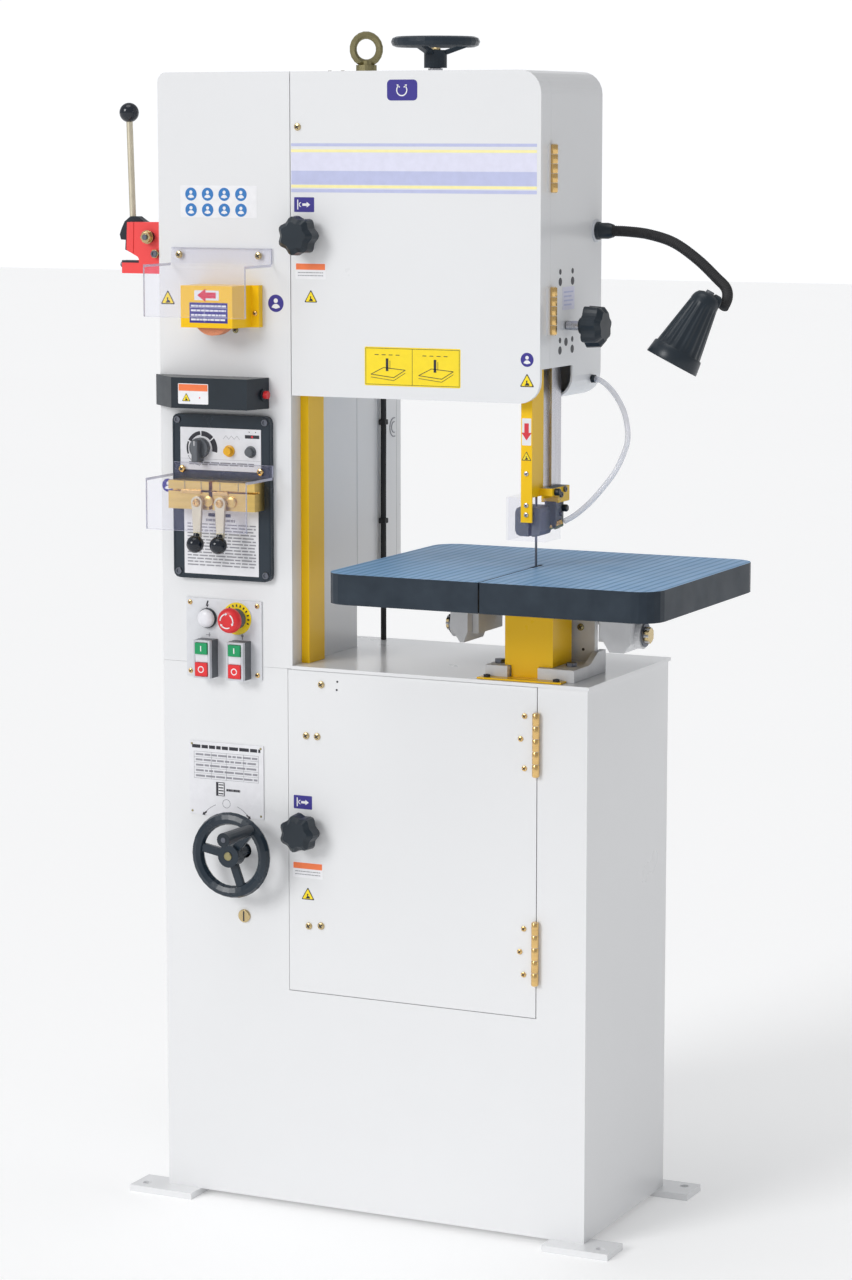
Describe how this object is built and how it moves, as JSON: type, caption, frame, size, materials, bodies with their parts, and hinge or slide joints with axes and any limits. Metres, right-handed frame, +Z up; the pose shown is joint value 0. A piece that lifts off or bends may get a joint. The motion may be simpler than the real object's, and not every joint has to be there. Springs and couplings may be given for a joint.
{
  "type": "vertical band saw",
  "caption": "Upright metal-cutting band saw with a tilting table, adjustable blade guide, blade welder with grinder and shear, speed handwheel and work lamp.",
  "frame": {"origin": "on the floor, under the middle of the machine's bounding box", "axes": "+X to the right and +Y to the back as seen from the front, +Z up"},
  "size_m": [0.9144, 0.506, 1.7277],
  "materials": {
    "paint": "gloss",
    "yellow": "gloss",
    "black": "satin",
    "steel": "satin",
    "cast": "painted satin",
    "brass": "satin",
    "red": "gloss",
    "green": "gloss",
    "orange": "gloss",
    "table": "satin",
    "clear": "clear",
    "stone": "gritty",
    "rubber": "matte",
    "plate": "satin"
  },
  "bodies": {
    "frame": {"cabinet_shell": "paint", "cabinet_top_plate": "paint", "column_box": "paint", "head_housing": "paint", "lifting_eye": "brass", "column_blade_guard": "yellow", "lower_blade_guard": "yellow", "trunnion_base": "cast", "electrics_box": "paint", "box_cable": "rubber", "drive_motor": "cast", "lower_bearing": "cast", "drive_belt": "rubber", "grinder_guard": "yellow", "grinder_shield": "clear", "lamp_hood": "black", "welder_panel": "black", "welder_jaws": "brass", "welder_shield": "clear", "control_panel": "plate", "speed_plate": "plate", "saw_blade": "steel", "shear_body": "red", "air_hose": "clear"},
    "upper_door": {"upper_door": "paint"},
    "upper_latch": {"upper_door_knob": "black"},
    "lower_door": {"lower_door": "paint"},
    "lower_latch": {"lower_door_knob": "black"},
    "tension_wheel": {"tension_handwheel": "black"},
    "tension_slide": {"tension_block": "cast"},
    "upper_wheel": {"upper_wheel": "cast"},
    "lower_wheel": {"lower_wheel": "cast"},
    "motor_shaft": {"motor_sheave": "steel"},
    "sliding_sheave": {"sliding_sheave": "steel"},
    "speed_wheel": {"speed_handwheel": "black"},
    "crank_grip": {"crank_grip": "black"},
    "guide": {"guide_post": "steel", "guide_arm": "cast", "upper_blade_guard": "yellow", "clear_guard": "clear"},
    "post_clamp": {"post_clamp_knob": "black"},
    "lamp_arm": {"lamp_arm": "black"},
    "lamp_head": {"lamp_head": "black"},
    "cradle": {"table_cradle": "cast"},
    "table": {"work_table": "table", "left_table_bracket": "cast", "right_table_bracket": "cast"},
    "grinding_wheel": {"grinding_wheel": "stone"},
    "shear_lever": {"shear_lever": "black"},
    "left_clamp_lever": {"left_clamp_lever": "brass"},
    "right_clamp_lever": {"right_clamp_lever": "brass"},
    "pressure_knob": {"pressure_knob": "black"},
    "weld_button": {"weld_button": "orange"},
    "anneal_button": {"anneal_button": "black"},
    "hood_button": {"hood_button": "red"},
    "emergency_stop": {"emergency_stop": "red"},
    "saw_start_button": {"saw_start_button": "green"},
    "saw_stop_button": {"saw_stop_button": "red"},
    "grinder_start_button": {"grinder_start_button": "green"},
    "grinder_stop_button": {"grinder_stop_button": "red"}
  },
  "joints": [
    {"name": "upper_door_hinge", "type": "hinge", "parent": "frame", "child": "upper_door", "pos_m": [0.22909, -0.078, 1.44], "axis": [0, 0, 1], "range_deg": [0, 110]},
    {"name": "upper_latch_turn", "type": "hinge", "parent": "upper_door", "child": "upper_latch", "pos_m": [-0.14071, -0.113, 1.439], "axis": [0, -1, 0], "range_deg": [0, 90]},
    {"name": "lower_door_hinge", "type": "hinge", "parent": "frame", "child": "lower_door", "pos_m": [0.22279, -0.118, 0.57], "axis": [0, 0, 1], "range_deg": [0, 110]},
    {"name": "lower_latch_turn", "type": "hinge", "parent": "lower_door", "child": "lower_latch", "pos_m": [-0.14371, -0.113, 0.575], "axis": [0, -1, 0], "range_deg": [0, 90]},
    {"name": "tension_turn", "type": "hinge", "parent": "frame", "child": "tension_wheel", "pos_m": [0.01679, -0.013, 1.7115], "axis": [0, 0, 1], "range_deg": [-1800, 0]},
    {"name": "tension_slide", "type": "slide", "parent": "frame", "child": "tension_slide", "axis": [0, 0, 1], "range_m": [-0.02, 0]},
    {"name": "upper_wheel_spin", "type": "hinge", "parent": "tension_slide", "child": "upper_wheel", "pos_m": [0.01679, -0.053, 1.44], "axis": [0, 1, 0], "continuous": true},
    {"name": "lower_wheel_spin", "type": "hinge", "parent": "frame", "child": "lower_wheel", "pos_m": [0.01679, -0.053, 0.575], "axis": [0, 1, 0], "continuous": true},
    {"name": "motor_spin", "type": "hinge", "parent": "frame", "child": "motor_shaft", "pos_m": [-0.24771, -0.018, 0.536], "axis": [0, 1, 0], "continuous": true},
    {"name": "sheave_slide", "type": "slide", "parent": "motor_shaft", "child": "sliding_sheave", "axis": [0, -1, 0], "range_m": [0, 0.012]},
    {"name": "speed_turn", "type": "hinge", "parent": "frame", "child": "speed_wheel", "pos_m": [-0.24771, -0.153, 0.536], "axis": [0, -1, 0], "range_deg": [0, 1080]},
    {"name": "grip_spin", "type": "hinge", "parent": "speed_wheel", "child": "crank_grip", "pos_m": [-0.21257, -0.163, 0.57766], "axis": [0, -1, 0], "continuous": true},
    {"name": "guide_lift", "type": "slide", "parent": "frame", "child": "guide", "axis": [0, 0, 1], "range_m": [-0.012, 0.165], "deforming": ["air_hose"]},
    {"name": "post_clamp_turn", "type": "hinge", "parent": "frame", "child": "post_clamp", "pos_m": [0.24629, -0.02, 1.315], "axis": [1, 0, 0], "range_deg": [0, 360]},
    {"name": "lamp_swivel", "type": "hinge", "parent": "frame", "child": "lamp_arm", "pos_m": [0.22429, 0.086, 1.445], "axis": [1, 0, 0], "range_deg": [-60, 60]},
    {"name": "lamp_tilt", "type": "hinge", "parent": "lamp_arm", "child": "lamp_head", "pos_m": [0.44779, 0.0095, 1.343], "axis": [0.5082, -0.8613, 0], "range_deg": [-22, 35]},
    {"name": "table_tilt_side", "type": "hinge", "parent": "frame", "child": "cradle", "pos_m": [0.19494, -0.042, 0.975], "axis": [0, 1, 0], "range_deg": [-15, 15]},
    {"name": "table_tilt_front", "type": "hinge", "parent": "cradle", "child": "table", "pos_m": [0.19494, -0.042, 0.885], "axis": [1, 0, 0], "range_deg": [-6, 6]},
    {"name": "grinder_spin", "type": "hinge", "parent": "frame", "child": "grinding_wheel", "pos_m": [-0.26871, -0.151, 1.328], "axis": [0, 1, 0], "continuous": true},
    {"name": "shear_pull", "type": "hinge", "parent": "frame", "child": "shear_lever", "pos_m": [-0.39821, -0.088, 1.4334], "axis": [0, 1, 0], "range_deg": [-65, 0]},
    {"name": "left_clamp_swing", "type": "hinge", "parent": "frame", "child": "left_clamp_lever", "pos_m": [-0.29471, -0.157, 1.054], "axis": [0, 1, 0], "range_deg": [0, 60]},
    {"name": "right_clamp_swing", "type": "hinge", "parent": "frame", "child": "right_clamp_lever", "pos_m": [-0.25671, -0.157, 1.054], "axis": [0, 1, 0], "range_deg": [-60, 0]},
    {"name": "pressure_turn", "type": "hinge", "parent": "frame", "child": "pressure_knob", "pos_m": [-0.30771, -0.1233, 1.13], "axis": [0, -1, 0], "range_deg": [-135, 135]},
    {"name": "weld_button_press", "type": "slide", "parent": "frame", "child": "weld_button", "axis": [0, 1, 0], "range_m": [0, 0.003], "stiffness_N_per_m": 400},
    {"name": "anneal_button_press", "type": "slide", "parent": "frame", "child": "anneal_button", "axis": [0, 1, 0], "range_m": [0, 0.003], "stiffness_N_per_m": 400},
    {"name": "hood_button_press", "type": "slide", "parent": "frame", "child": "hood_button", "axis": [-1, 0, 0], "range_m": [0, 0.0025], "stiffness_N_per_m": 400},
    {"name": "emergency_stop_press", "type": "slide", "parent": "frame", "child": "emergency_stop", "axis": [0, 1, 0], "range_m": [0, 0.005], "stiffness_N_per_m": 400},
    {"name": "saw_start_button_press", "type": "slide", "parent": "frame", "child": "saw_start_button", "axis": [0, 1, 0], "range_m": [0, 0.003], "stiffness_N_per_m": 400},
    {"name": "saw_stop_button_press", "type": "slide", "parent": "frame", "child": "saw_stop_button", "axis": [0, 1, 0], "range_m": [0, 0.003], "stiffness_N_per_m": 400},
    {"name": "grinder_start_button_press", "type": "slide", "parent": "frame", "child": "grinder_start_button", "axis": [0, 1, 0], "range_m": [0, 0.003], "stiffness_N_per_m": 400},
    {"name": "grinder_stop_button_press", "type": "slide", "parent": "frame", "child": "grinder_stop_button", "axis": [0, 1, 0], "range_m": [0, 0.003], "stiffness_N_per_m": 400}
  ],
  "couplings": [
    {"joint": "tension_turn", "follows": "tension_slide", "rad_per_m": 1570.8},
    {"joint": "upper_wheel_spin", "follows": "lower_wheel_spin", "ratio": 1},
    {"joint": "motor_spin", "follows": "lower_wheel_spin", "ratio": 1.8},
    {"joint": "sheave_slide", "follows": "speed_turn", "m_per_rad": 0.00063662}
  ]
}
